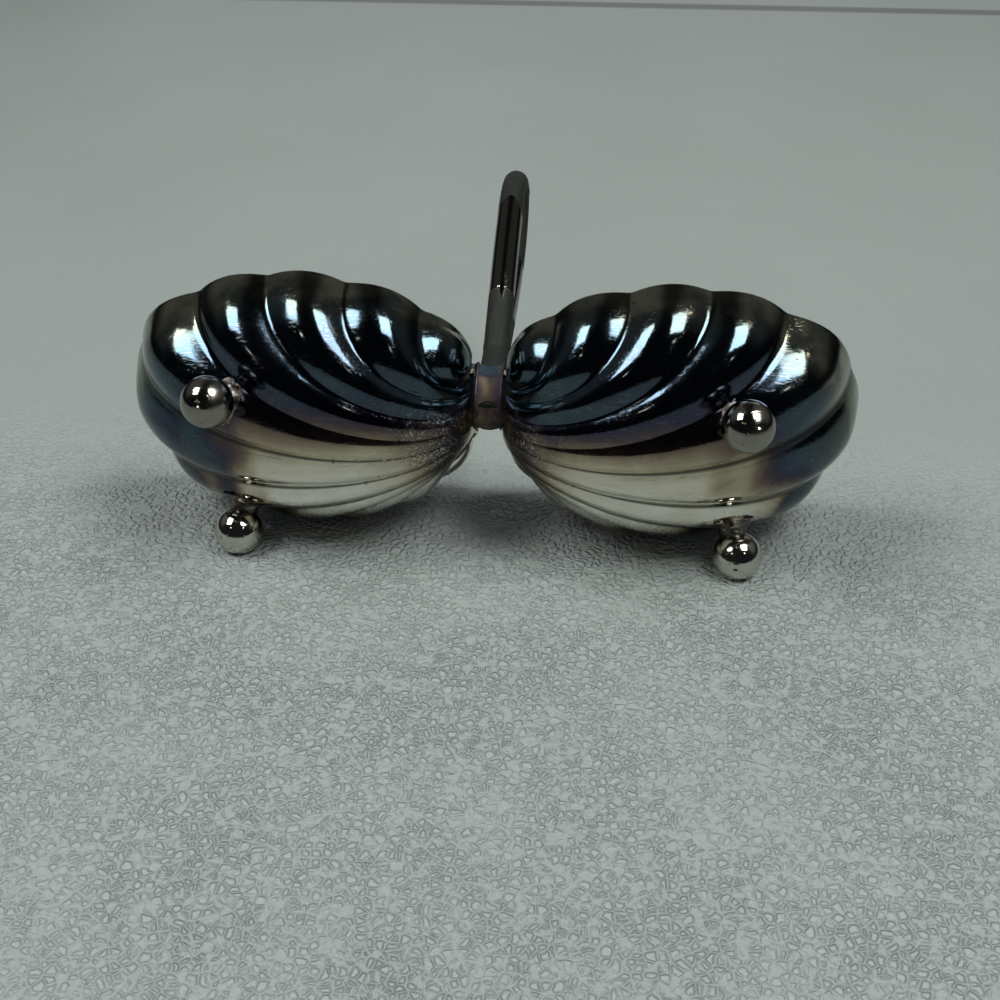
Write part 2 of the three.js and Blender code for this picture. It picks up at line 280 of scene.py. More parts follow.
class Graph:
    """A node tree with short calls for adding and linking nodes."""

    def __init__(self, tree: bpy.types.NodeTree) -> None:
        """Starts from an empty tree."""
        self.tree = tree
        tree.nodes.clear()

    def add(self, kind: str, inputs: dict | None = None, **settings: object) -> bpy.types.Node:
        """Adds a node.

        Args:
            kind: Blender's type name without the ShaderNode prefix, or in full.
            inputs: socket name or number to value or to another node's socket.
            settings: properties of the node.

        Returns:
            The node.
        """
        full = kind if kind.startswith("Node") else "ShaderNode" + kind
        node = self.tree.nodes.new(full)
        for key, value in settings.items():
            setattr(node, key, value)
        for key, value in (inputs or {}).items():
            self.feed(node.inputs[key], value)
        return node

    def feed(self, socket: Socket, value: object) -> None:
        """Links a socket to another, or sets its value.

        Args:
            socket: the socket to feed.
            value: another node's socket, a number, or three numbers.
        """
        if isinstance(value, Socket):
            self.tree.links.new(value, socket)
        else:
            socket.default_value = (*value, 1.0) if socket.type == "RGBA" else value

    def math(self, operation: str, *terms: object, clamp: bool = False) -> Socket:
        """Adds a Math node and returns its result."""
        node = self.add("Math", dict(enumerate(terms)), operation=operation, use_clamp=clamp)
        return node.outputs[0]

    def blend(self, share: object, first: object, second: object) -> Socket:
        """Mixes two colours and returns the result."""
        node = self.add("Mix", {0: share, 6: first, 7: second}, data_type="RGBA")
        return node.outputs[2]

    def remap(self, value: object, low: float, high: float, start: float = 0.0,
              end: float = 1.0) -> Socket:
        """Maps low..high smoothly to start..end, clamped."""
        inputs = {0: value, 1: low, 2: high, 3: start, 4: end}
        return self.add("MapRange", inputs, interpolation_type="SMOOTHSTEP").outputs[0]

    def ramp(self, value: object, stops: tuple[tuple[float, Triple], ...]) -> Socket:
        """Adds a colour ramp.

        Args:
            value: what picks the colour.
            stops: place and colour of each stop.

        Returns:
            The colour.
        """
        node = self.add("ValToRGB", {0: value})
        elements = node.color_ramp.elements
        while len(elements) < len(stops):
            elements.new(0.5)
        for element, (place, colour) in zip(elements, stops):
            element.position = place
            element.color = (*colour, 1.0)
        return node.outputs[0]

    def noise(self, vector: object, scale: object, detail: float = 3.0, rough: float = 0.55,
              distortion: float = 0.0) -> Socket:
        """Adds a noise texture and returns its value."""
        node = self.add("TexNoise", {"Vector": vector, "Scale": scale, "Detail": detail,
                                     "Roughness": rough, "Distortion": distortion})
        return node.outputs["Fac"]

    def place(self) -> Socket:
        """Position on the object, in metres."""
        return self.add("TexCoord").outputs["Object"]

    def dot(self, vector: object, axis: Triple) -> Socket:
        """Dot product of a vector and a fixed axis."""
        node = self.add("VectorMath", {0: vector, 1: axis}, operation="DOT_PRODUCT")
        return node.outputs["Value"]


def shared_group(name: str, inputs: dict[str, float],
                 outputs: dict[str, str]) -> tuple[Graph, object, object]:
    """Starts a shader node group with named sockets.

    Args:
        name: the group's name.
        inputs: name and start value of each number that goes in.
        outputs: name and kind of each value that comes out.

    Returns:
        The graph, the sockets that bring its inputs, and those that take its outputs.
    """
    tree = bpy.data.node_groups.new(name, "ShaderNodeTree")
    for label, value in inputs.items():
        item = tree.interface.new_socket(name=label, in_out="INPUT", socket_type="NodeSocketFloat")
        item.default_value = value
    for label, kind in outputs.items():
        tree.interface.new_socket(name=label, in_out="OUTPUT", socket_type="NodeSocket" + kind)
    graph = Graph(tree)
    return graph, graph.add("NodeGroupInput").outputs, graph.add("NodeGroupOutput").inputs


class Effects:
    """Shader node groups that the finishes share."""

    def __init__(self) -> None:
        """Builds each group once."""
        self.film = self._tarnish_film()
        self.polish = self._hand_polish()
        self.pits = self._pits()

    @staticmethod
    def _tarnish_film() -> bpy.types.NodeTree:
        """Colour of silver under a patchy sulphide film.

        Returns:
            The group, in which Film 0 is clean and 1 is thick.
        """
        graph, start, end = shared_group(
            "tarnish_film", {"Film": 0.5, "Patchiness": 0.1, "Scale": 60.0}, {"Color": "Color"})
        cloud = graph.noise(graph.place(), start["Scale"], detail=5.0, rough=0.6, distortion=0.6)
        swing = graph.math("MULTIPLY", graph.math("SUBTRACT", cloud, 0.5), start["Patchiness"])
        film = graph.math("ADD", start["Film"], graph.math("MULTIPLY", swing, 2.0), clamp=True)
        graph.feed(end["Color"], graph.ramp(film, FILM_COLOURS))
        return graph.tree

    @staticmethod
    def _hand_polish() -> bpy.types.NodeTree:
        """Fine crossing scratches and smears from years of rubbing.

        Returns:
            The group.
        """
        graph, start, end = shared_group(
            "hand_polish", {"Scale": 1.0, "Smear": 0.5}, {"Scratch": "Float", "Smudge": "Float"})
        sized = graph.add("VectorMath", {0: graph.place(), "Scale": start["Scale"]},
                          operation="SCALE").outputs[0]
        lines = []
        for turn in ((0.3, 0.2, 0.5), (1.1, 0.7, 2.1), (0.5, 1.9, 1.2)):
            moved = graph.add("Mapping", {"Vector": sized, "Rotation": turn,
                                          "Scale": (220.0, 2400.0, 2400.0)})
            streaks = graph.noise(moved.outputs[0], 1.0, detail=1.0, distortion=0.4)
            lines.append(graph.remap(streaks, 0.63, 0.70))
        scratch = graph.math("MAXIMUM", graph.math("MAXIMUM", lines[0], lines[1]), lines[2])
        patch = graph.noise(sized, 90.0, detail=4.0, distortion=1.2)
        smudge = graph.math("MULTIPLY", graph.remap(patch, 0.42, 0.68), start["Smear"])
        scratch = graph.math("MULTIPLY", scratch, graph.remap(patch, 0.35, 0.6))
        graph.feed(end["Scratch"], scratch)
        graph.feed(end["Smudge"], smudge)
        return graph.tree

    @staticmethod
    def _pits() -> bpy.types.NodeTree:
        """Small dark pits and crumbs, more of them as Amount grows.

        Returns:
            The group.
        """
        graph, start, end = shared_group("pits", {"Scale": 900.0, "Amount": 0.2},
                                         {"Mask": "Float"})
        cells = graph.add("TexVoronoi", {"Vector": graph.place(), "Scale": start["Scale"]},
                          feature="F1", distance="EUCLIDEAN").outputs
        chance = graph.add("TexWhiteNoise", {"Vector": cells["Position"]}).outputs["Value"]
        chosen = graph.math("LESS_THAN", chance, start["Amount"])
        dot = graph.remap(cells["Distance"], 0.34, 0.14)
        graph.feed(end["Mask"], graph.math("MULTIPLY", chosen, dot))
        return graph.tree


class Paint:
    """One material under construction: its graph, its Principled shader and its output."""

    def __init__(self, name: str, metallic: float, roughness: float) -> None:
        """Makes the material.

        Args:
            name: the material's name.
            metallic: how metallic it is all over.
            roughness: its roughness where nothing else feeds it.
        """
        self.material = bpy.data.materials.new(name)
        self.material.use_nodes = True
        self.graph = Graph(self.material.node_tree)
        self.shader = self.graph.add("BsdfPrincipled",
                                     {"Metallic": metallic, "Roughness": roughness})
        self.out = self.graph.add("OutputMaterial", {"Surface": self.shader.outputs[0]})

    def group(self, tree: bpy.types.NodeTree, **inputs: object) -> object:
        """Places a shared group with its own inputs and returns its outputs."""
        return self.graph.add("Group", inputs, node_tree=tree).outputs

    def value(self, name: str) -> Socket:
        """Reads a float attribute of the mesh."""
        return self.graph.add("Attribute", attribute_name=name).outputs["Fac"]

    def bump(self, height: Socket, distance: float, **under: Socket) -> Socket:
        """Adds a Bump node, distance in metres and over a Normal if given."""
        node = self.graph.add("Bump", {"Height": height, "Distance": distance, **under})
        return node.outputs[0]

    def set(self, colour: Socket, normal: Socket, rough: Socket | None = None) -> Material:
        """Feeds the shader.

        Args:
            colour: its base colour.
            normal: its normal.
            rough: its roughness where that varies.

        Returns:
            The finished material.
        """
        for key, value in (("Base Color", colour), ("Normal", normal), ("Roughness", rough)):
            if value is not None:
                self.graph.feed(self.shader.inputs[key], value)
        return self.material


# Finishes


@dataclass(frozen=True)
class ShellSilver:
    """Pressed plate: blue-black film outside, rubbed back to pale metal over the belly."""

    roughness: float = 0.07
    haze: float = 0.22
    scratch_depth: float = 0.000010
    unevenness: float = 0.00003
    # Near black of painted shade and dirt in the grooves
    groove_shade_and_dirt: Triple = (0.022, 0.019, 0.016)
    rubbed_metal: Triple = (0.62, 0.58, 0.50)
    pit_dirt: Triple = (0.03, 0.024, 0.018)

    def build(self, effects: Effects) -> Material:
        """Makes the material.

        Args:
            effects: the shared node groups.

        Returns:
            The material, which reads the attributes film, crease and wear.
        """
        paint = Paint("pressed_silver", 1.0, self.roughness)
        graph = paint.graph
        wear = paint.value("wear")
        colour = paint.group(effects.film, Film=paint.value("film"), Patchiness=0.11,
                             Scale=100.0)["Color"]
        polish = paint.group(effects.polish, Scale=1.0, Smear=0.8)
        pits = paint.group(effects.pits, Scale=700.0, Amount=graph.math("MULTIPLY", wear, 0.25))
        # Painted shade with some dirt: the crease mask takes the grooves near black
        crease = graph.math("MULTIPLY", graph.remap(paint.value("crease"), 0.84, 0.97), 0.85)
        rubbed = graph.math("MULTIPLY", polish["Scratch"], wear)
        rubbed = graph.math("MULTIPLY", rubbed, 2.2, clamp=True)
        colour = graph.blend(crease, colour, self.groove_shade_and_dirt)
        colour = graph.blend(rubbed, colour, self.rubbed_metal)
        colour = graph.blend(graph.math("MULTIPLY", pits["Mask"], 0.7), colour, self.pit_dirt)
        rough = graph.math("MULTIPLY_ADD", polish["Smudge"], self.haze * 0.35, self.roughness)
        rough = graph.math("MULTIPLY_ADD", wear, self.haze, rough)
        height = graph.math("SUBTRACT", graph.math("MULTIPLY", polish["Scratch"], -0.6),
                            pits["Mask"])
        hammered = paint.bump(graph.noise(graph.place(), 380.0, detail=4.0), self.unevenness)
        return paint.set(colour, paint.bump(height, self.scratch_depth, Normal=hammered), rough)


@dataclass(frozen=True)
class CastSilver:
    """Cast and turned pieces: handle, saddle and balls, from clean to dark."""

    name: str
    patchiness: float
    roughness: float
    smear: float = 0.5
    mottle: float = 0.0
    tint: Triple = (0.5, 0.5, 0.5)
    tint_share: float = 0.0
    # Dull finish whose dark grey-green is partly painted reflection of the sheet
    satin_painted_reflection: Triple = (0.044, 0.050, 0.042)
    pit_dirt: Triple = (0.03, 0.022, 0.015)
    dull_gain: float = 0.70
    scratch_depth: float = 0.000006

    def build(self, effects: Effects) -> Material:
        """Makes the material.

        Args:
            effects: the shared node groups.

        Returns:
            The material, which reads the attributes film, dull and the satin share; the satin
            colour is partly painted reflection of the grey-green sheet.
        """
        paint = Paint(self.name, 1.0, self.roughness)
        graph = paint.graph
        film = paint.group(effects.film, Film=paint.value("film"),
                           Patchiness=self.patchiness, Scale=150.0)
        polish = paint.group(effects.polish, Scale=1.3, Smear=self.smear)
        pits = paint.group(effects.pits, Scale=900.0, Amount=0.03 + self.mottle)
        colour = graph.blend(self.tint_share, film["Color"], self.tint)
        colour = graph.blend(graph.math("MULTIPLY", pits["Mask"], 0.8), colour, self.pit_dirt)
        # Satin finish with painted reflection of the sheet, blended in by the satin share
        colour = graph.blend(paint.value("satin_painted_reflection"), colour, self.satin_painted_reflection)
        rough = graph.math("MULTIPLY_ADD", polish["Smudge"], 0.12, self.roughness)
        rough = graph.math("MULTIPLY_ADD", paint.value("dull"), self.dull_gain, rough)
        height = graph.math("SUBTRACT", graph.math("MULTIPLY", polish["Scratch"], -0.7),
                            pits["Mask"])
        return paint.set(colour, paint.bump(height, self.scratch_depth), rough)


@dataclass(frozen=True)
class SolderMetal:
    """Soft solder with flux stains round the joints."""

    roughness: float = 0.34
    lump_depth: float = 0.00006
    stains: tuple[tuple[float, Triple], ...] = (
        (0.25, (0.030, 0.026, 0.024)), (0.46, (0.10, 0.085, 0.075)),
        (0.60, (0.26, 0.235, 0.20)), (0.78, (0.50, 0.47, 0.41)))

    def build(self, effects: Effects) -> Material:
        """Makes the material.

        Args:
            effects: the shared node groups.

        Returns:
            The material.
        """
        paint = Paint("flux_stained_solder", 1.0, self.roughness)
        graph = paint.graph
        place = graph.place()
        lumps = graph.noise(place, 900.0, detail=4.0, rough=0.6)
        stain = graph.noise(place, 320.0, detail=5.0, rough=0.65, distortion=0.8)
        pits = paint.group(effects.pits, Scale=1500.0, Amount=0.12)
        rough = graph.remap(lumps, 0.3, 0.7, self.roughness - 0.14, self.roughness + 0.16)
        height = graph.math("SUBTRACT", lumps, pits["Mask"])
        return paint.set(graph.ramp(stain, self.stains), paint.bump(height, self.lump_depth),
                         rough)


# Bowl


@dataclass(frozen=True)
class BowlForm:
    """Outer skin of the scallop bowl, in millimetres, heights from the rim plane."""

    start: float = 3.5
    length: float = 86.7
    half_width: float = 35.2
    cusps: tuple[tuple[float, float], ...] = (
        (0.013, 0.330), (0.149, 0.733), (0.360, 0.960),
        (0.581, 1.000), (0.795, 0.827), (1.000, 0.347))
    bulge: float = 0.19
    bulge_at_hinge: float = 0.06
    full_bulge_from: float = 0.45
    fuller_lobes: tuple[int, ...] = (4, 6)
    fuller_share: float = 0.20
    belly_drop: float = 43.5
    wall_drop: float = 20.4
    wall_lean: float = 7.9
    rim_wall_lean: float = -1.3
    hinge_plunge: float = math.radians(83.8)
    hinge_reach: float = 24.9
    hinge_reach_gain: float = 2.5
    groove_ease: float = 5.3
    swirl_centre: float = 51.2
    throat_half_width: float = 8.55
    throat_depth: float = 12.9
    foot_lobe: int = 4

    @property
    def lobes(self) -> int:
        """Number of lobes between the first and the last groove."""
        return 2 * len(self.cusps) - 1

    def controls(self, groove: int) -> Array:
        """Shapes one groove from the throat's edge out to its rim cusp.

        Args:
            groove: number of the groove.

        Returns:
            Four Bezier points.
        """
        near = groove < len(self.cusps)
        along, across = self.cusps[groove if near else self.lobes - groove]
        end = np.array([self.start + along * self.length,
                        (-1 if near else 1) * across * self.half_width, 0.0])
        turn = math.pi * groove / self.lobes
        side, deep = -math.cos(turn), math.sin(turn)
        start = np.array([self.start, side * self.throat_half_width, -deep * self.throat_depth])
        span = float(np.linalg.norm(end - start))
        pull = span / math.hypot(span, self.groove_ease)
        reach = pull * (self.hinge_reach + self.hinge_reach_gain * deep)
        leave = start + reach * np.array(
            [math.cos(self.hinge_plunge), 0.0, -math.sin(self.hinge_plunge) * deep])
        wall = unit(np.array([end[0] - self.start - self.swirl_centre, end[1], 0.0]))
        lean = pull * (self.rim_wall_lean + (self.wall_lean - self.rim_wall_lean) * deep)
        drop = pull * (self.wall_drop + (self.belly_drop - self.wall_drop) * deep)
        arrive = end - lean * wall - np.array([0.0, 0.0, drop])
        return np.array([start, leave, arrive, end])

    def groove_lines(self, along: Array) -> tuple[Array, Array]:
        """Points and run directions of all grooves.

        Args:
            along: shares of the way from the hinge to the rim.

        Returns:
            Two arrays of shape (lobes + 1, len(along), 3).
        """
        control = np.array([self.controls(g) for g in range(self.lobes + 1)])
        t = along[:, None]
        weights = [(1 - t) ** 3, 3 * (1 - t) ** 2 * t, 3 * (1 - t) * t ** 2, t ** 3]
        slopes = [-3 * (1 - t) ** 2, 3 * (1 - t) ** 2 - 6 * (1 - t) * t,
                  6 * (1 - t) * t - 3 * t ** 2, 3 * t ** 2]
        points = sum(w * control[:, None, k] for k, w in enumerate(weights))
        runs = sum(w * control[:, None, k] for k, w in enumerate(slopes))
        return points, unit(runs)

    @staticmethod
    def pillow(along: Array) -> Array:
        """Extra fullness of the lobes, which roll in again at the rim."""
        full = 0.022 * np.exp(-((along - 0.86) / 0.085) ** 2)
        return full - 0.040 * smoothstep(0.90, 1.0, along)

    def skin(self, across: Array, along: Array, pillowed: bool = False) -> Array:
        """Points of the skin on a grid.

        Args:
            across: shares of the way over one lobe, from 0 to below 1.
            along: shares of the way from the hinge to the rim.
            pillowed: whether the lobes get the fullness that hand work leaves near the rim.

        Returns:
            Array of shape (lobes * len(across) + 1, len(along), 3).
        """
        points, runs = self.groove_lines(along)
        fade = smoothstep(0.03, 0.20, along)[:, None]
        swell = self.bulge_at_hinge + (self.bulge - self.bulge_at_hinge) * np.minimum(
            along[:, None] / self.full_bulge_from, 1)
        if pillowed:
            swell = swell + self.pillow(along)[:, None]
        columns = []
        for lobe in range(self.lobes):
            first, second = points[lobe], points[lobe + 1]
            before = points[lobe - 1] if lobe else 2 * first - second
            after = points[lobe + 2] if lobe + 2 <= self.lobes else 2 * second - first
            chord = second - first
            outward = unit(np.cross(chord, unit(runs[lobe] + runs[lobe + 1])))
            width = np.linalg.norm(chord, axis=-1, keepdims=True)
            if pillowed and lobe in self.fuller_lobes:
                width = width * (1 + self.fuller_share * smoothstep(0.74, 0.90, along)[:, None])
            for share in across if lobe + 1 < self.lobes else np.append(across, 1.0):
                ribbed = first + chord * share + outward * (4 * share * (1 - share) * swell * width)
                even = 0.5 * (2 * first + (second - before) * share
                              + (2 * before - 5 * first + 4 * second - after) * share ** 2
                              + (3 * first - before - 3 * second + after) * share ** 3)
                columns.append(even + (ribbed - even) * fade)
        return np.array(columns)

    def foot_spot(self, across: float, along: float) -> tuple[Array, Array]:
        """Point on the skin and its outward direction where a foot sits.

        Args:
            across: share of the way over the lobe.
            along: share of the way to the rim.

        Returns:
            The point and a unit vector, on the quarter with +X and -Y.
        """
        step = 0.02
        rows = np.array([0.0, across, across + step])
        grid = self.skin(rows, np.array([along, along + step]))
        first = self.foot_lobe * len(rows) + 1
        point = grid[first, 0]
        return point, unit(np.cross(grid[first + 1, 0] - point, grid[first, 1] - point))


@dataclass
class PressedBowls:
    """The two bowls as thin pressed sheets with rounded edges."""

    form: BowlForm
    lift: float
    sheet: float = 1.0
    lobe_steps: int = 28
    run_steps: int = 104
    edge_steps: int = 4
    blur_steps: int = 5
    right_seed: int = 11
    left_seed: int = 47

    def soften(self, grid: Array, along: Array) -> Array:
        """Rounds the grooves a little, as pressing leaves them.

        Args:
            grid: points, columns first.
            along: share of the way to the rim of each row.

        Returns:
            The grid with each row blurred over its neighbouring columns.
        """
        spread = (1.5 - 0.6 * smoothstep(0.55, 1.0, along))[None, :, None]
        columns = np.arange(len(grid))
        total, weight = np.zeros_like(grid), 0.0
        for offset in range(-self.blur_steps, self.blur_steps + 1):
            share = np.exp(-0.5 * (offset / spread) ** 2)
            total = total + share * grid[np.clip(columns + offset, 0, len(grid) - 1)]
            weight = weight + share
        inside = np.clip(np.minimum(columns, columns[::-1]) / self.blur_steps, 0, 1)
        return grid + (total / weight - grid) * inside[:, None, None]

    def sheet_grid(self) -> tuple[Array, dict[str, Array]]:
        """Closed loops of points over the outside, round the rim and back inside.

        Returns:
            Points of shape (columns, ring, 3) and, for each point, its share of the way to the
            rim, its lobe, how near a groove it is and whether it is inside.
        """
        across = np.linspace(0, 1, self.lobe_steps + 1)[:-1]
        along = np.linspace(0, 1, self.run_steps + 1)
        outer = self.soften(self.form.skin(across, along, pillowed=True), along)
        normal = unit(np.cross(np.gradient(outer, axis=0), np.gradient(outer, axis=1)))
        uneven = 0.035 * ripple(outer, 26.0, 3) + 0.012 * ripple(outer, 9.0, 8)
        outer = outer + normal * (uneven * smoothstep(0.0, 0.15, along))[..., None]
        outer[..., 2] -= self.sheet / 2 * smoothstep(0.7, 1.0, along)
        inner = outer - normal * self.sheet
        middle, half = (outer[:, -1] + inner[:, -1]) / 2, (outer[:, -1] - inner[:, -1]) / 2
        rise = np.zeros_like(half)
        rise[:, 2] = self.sheet / 2
        turns = np.linspace(0, math.pi, self.edge_steps + 2)[1:-1]
        edge = np.stack([middle + half * math.cos(a) + rise * math.sin(a) for a in turns], axis=1)
        points = np.concatenate([outer, edge, inner[:, ::-1]], axis=1)
        over_lobe = np.append(np.tile(across, self.form.lobes), 1.0)
        ends = np.zeros(len(along)), np.ones(len(along))
        where = {
            "along": np.concatenate([along, np.ones(self.edge_steps), along[::-1]]),
            "turn": np.arange(len(outer))[:, None] / self.lobe_steps,
            "crease": np.abs(2 * over_lobe - 1)[:, None],
            "inside": np.concatenate([ends[0], np.linspace(0, 1, self.edge_steps), ends[1]]),
        }
        shape = points.shape[:2]
        return points, {key: np.broadcast_to(number, shape) for key, number in where.items()}

    @staticmethod
    def finish_values(points: Array, where: dict[str, Array], seed: int) -> dict[str, Array]:
        """Film thickness, wear and the groove mask of painted shade over the sheet.

        Args:
            points: positions in millimetres.
            where: what sheet_grid gives for each point.
            seed: picks the patches of one bowl.

        Returns:
            The attributes film, wear and crease, the last a mask of painted shade and dirt along
            the grooves.
        """
        along, turn, inside = where["along"], where["turn"], where["inside"]
        outside = 1 - inside
        drift = 0.07 * ripple(points, 34.0, seed) + 0.035 * ripple(points, 11.0, seed + 1)
        # Rubbed clean over the belly, on the lobes that lie lowest
        belly = smoothstep(0.16, 0.42, along + 0.5 * drift) * smoothstep(0.80, 0.58, along + drift)
        low_side = smoothstep(3.4, 6.8, turn + 2.0 * drift + 0.9 * smoothstep(0.9, 0.3, along))
        film = 0.80 + 0.6 * drift - 0.78 * belly * low_side
        # Browner at the hinge, most of all on the lower lobes
        lower = smoothstep(2.2, 3.8, turn + drift)
        film = film - (0.10 + 0.16 * lower) * smoothstep(0.14, 0.0, along)
        film = film - 0.22 * lower * smoothstep(0.46, 0.20, along + drift)
        # Cleaner inside; olive along the rim outside, partly film and partly painted reflection of
        # the far sheet
        inner_film = 0.13 + 0.8 * drift + 0.22 * smoothstep(0.60, 1.0, along)
        film = film * outside + inner_film * inside
        film = film + 0.17 * smoothstep(0.76, 1.0, along) * outside
        hinge_side = smoothstep(0.44, 0.20, along + drift) * smoothstep(0.03, 0.09, along)
        wear = 0.9 * hinge_side * smoothstep(1.5, 3.5, turn) * outside
        # Painted shade and dirt along the grooves, most from the fourth lobe on
        groove = where["crease"] * (0.35 + 0.65 * smoothstep(3.6, 4.4, turn)) * outside
        return {"film": np.clip(film, 0, 1), "wear": wear + 0.05 * outside, "crease": groove}

    def build(self, side: Side, finish: Material) -> Piece:
        """Makes one bowl.

        Args:
            side: which half of the dish.
            finish: its material.

        Returns:
            The bowl, standing for its CAD node.
        """
        points, where = self.sheet_grid()
        seed = self.right_seed if side is Side.RIGHT else self.left_seed
        values = self.finish_values(points, where, seed)
        points = points * [side.value, 1, 1] + [0, 0, self.lift]
        columns, ring = points.shape[:2]
        faces = grid_quads(columns, ring, wrapped=True)
        half = (ring - self.edge_steps) // 2
        for base in (0, (columns - 1) * ring):
            faces += end_quads(base, ring, half)
            faces.append(tuple(range(base + half - 1, base + half + self.edge_steps + 1)))
        name = side.name.lower()
        piece = make_piece(f"pressed_bowl_{name}", points.reshape(-1, 3), faces, values)
        return dress(piece, finish, f"shell_{name}")


# Saddle, seams and rivet


@dataclass
class Saddle:
    """U-shaped strap between the bowls, with solder run into its seams."""

    form: BowlForm
    lift: float
    half_length: float = 6.2
    sheet: float = 1.2
    sunk: float = 0.30
    waist: float = 0.55
    waist_spread: float = 2.3
    film: float = 0.52
    seam_side_film: float = 0.08
    top_film: float = 0.30
    dull: float = 0.50
    seam_at: float = 3.5
    seam_depth: float = 0.25
    seam_radius: float = 0.40
    seam_film: float = 0.60
    seam_dull: float = 0.22

    def outline(self, turn: Array, inset: Array) -> Array:
        """Points of the U section in Y and Z, drawn in by inset."""
        return np.stack([-(self.form.throat_half_width - inset) * np.cos(turn),
                         -(self.form.throat_depth - inset) * np.sin(turn)], axis=-1)

    def build(self, finish: Material) -> Piece:
        """Makes the strap as a closed sheet, drawn in at its middle but not under it.

        Args:
            finish: its material.

        Returns:
            The strap, standing for its CAD node.
        """
        stations = np.linspace(-self.half_length, self.half_length, 49)
        turns = np.linspace(0, math.pi, 97)
        level_bottom = 1 - 0.9 * np.exp(-((turns - math.pi / 2) / 0.55) ** 2)
        drawn = self.sunk + self.waist * np.outer(
            np.exp(-(stations / self.waist_spread) ** 2), level_bottom)
        layers = []
        for depth in (0.0, self.sheet):
            section = self.outline(turns[None], drawn + depth)
            x = np.broadcast_to(stations[:, None], section.shape[:2])
            layers.append(np.concatenate([x[..., None], section], axis=-1))
        outer, inner = layers
        outer = outer + 0.05 * ripple(outer, 4.5, 21)[..., None] * [0, 1, 1]
        ring = np.concatenate([outer, inner[:, ::-1]], axis=1)
        columns, rows = ring.shape[:2]
        faces = grid_quads(columns, rows, wrapped=True)
        for base in (0, (columns - 1) * rows):
            faces += end_quads(base, rows, rows // 2)
        points = ring.reshape(-1, 3) + [0, 0, self.lift]
        film = self.film + 0.05 * ripple(points, 5.0, 31)
        film = film + self.seam_side_film * smoothstep(1.0, 2.8, np.abs(points[:, 0]))
        film = film + self.top_film * smoothstep(-4.5, -2.5, points[:, 2] - self.lift)
        piece = make_piece("saddle_strap", points, faces, {"film": film, "dull": self.dull})
        return dress(piece, finish, "bridge_saddle")

    def build_seam(self, side: Side, finish: Material) -> Piece:
        """Makes the fillet of solder where the strap meets one bowl.

        Args:
            side: which bowl.
            finish: its material.

        Returns:
            The seam.
        """
        turns = np.linspace(-0.02, math.pi + 0.02, 121)
        sides = 16
        out = np.zeros((len(turns), 1))
        spine = np.concatenate([out + self.seam_at - self.seam_depth, self.outline(
            turns, np.full_like(turns, self.seam_depth))], axis=1)
        radius = self.seam_radius + 0.05 * ripple(spine, 3.2, 60 + side.value)
        outward = unit(np.concatenate([out, self.outline(turns, np.zeros_like(turns))], axis=1))
        points = tube(spine, radius, outward, np.eye(3)[0], sides)
        points = points * [side.value, 1, 1] + [0, 0, self.lift]
        faces = grid_quads(len(turns), sides, wrapped=True)
        faces += [tuple(range(sides)), tuple(range(len(points) - sides, len(points)))]
        film = self.seam_film + 0.04 * ripple(points, 3.0, 64)
        piece = make_piece(f"seam_solder_{side.name.lower()}", points, faces,
                           {"film": film, "dull": self.seam_dull})
        return dress(piece, finish)


@dataclass
class Rivet:
    """Rivet under the saddle, hammered nearly flush and tinned over."""

    form: BowlForm
    lift: float
    shank: float = 1.5
    head: float = 3.0
    head_height: float = 0.22
    head_edge: float = 0.35
    length: float = 7.0
    film: float = 0.53
    dull: float = 0.50

    def build(self, finish: Material) -> Piece:
        """Makes the rivet with an uneven head that follows the strap.

        Args:
            finish: its material.

        Returns:
            The rivet, standing for its CAD node.
        """
        under = -self.form.throat_depth
        turns = np.linspace(0, math.pi / 2, 14)
        head = np.stack([self.head * np.sin(turns), under - self.head_height * np.cos(turns)],
                        axis=1)
        edge = under + self.head_edge
        tail = np.array([[self.head, edge], [self.shank, edge],
                         [self.shank, under + self.length], [0, under + self.length]])
        points, faces = turned(np.vstack([head, tail]), 64)
        low = points[:, 2] < under + 0.1
        points[low] += (0.10 * ripple(points[low], 2.6, 71))[:, None] * [0.8, 0.8, 1.0]
        bent = 1 - np.sqrt(1 - (points[:, 1] / self.form.throat_half_width) ** 2)
        points[:, 2] += self.form.throat_depth * bent * (points[:, 2] < under + 0.5)
        points[:, 2] += self.lift
        film = self.film + 0.04 * ripple(points, 3.0, 73)
        piece = make_piece("rivet_head", points, faces, {"film": film, "dull": self.dull})
        return dress(piece, finish, "handle_rivet")


# Handle


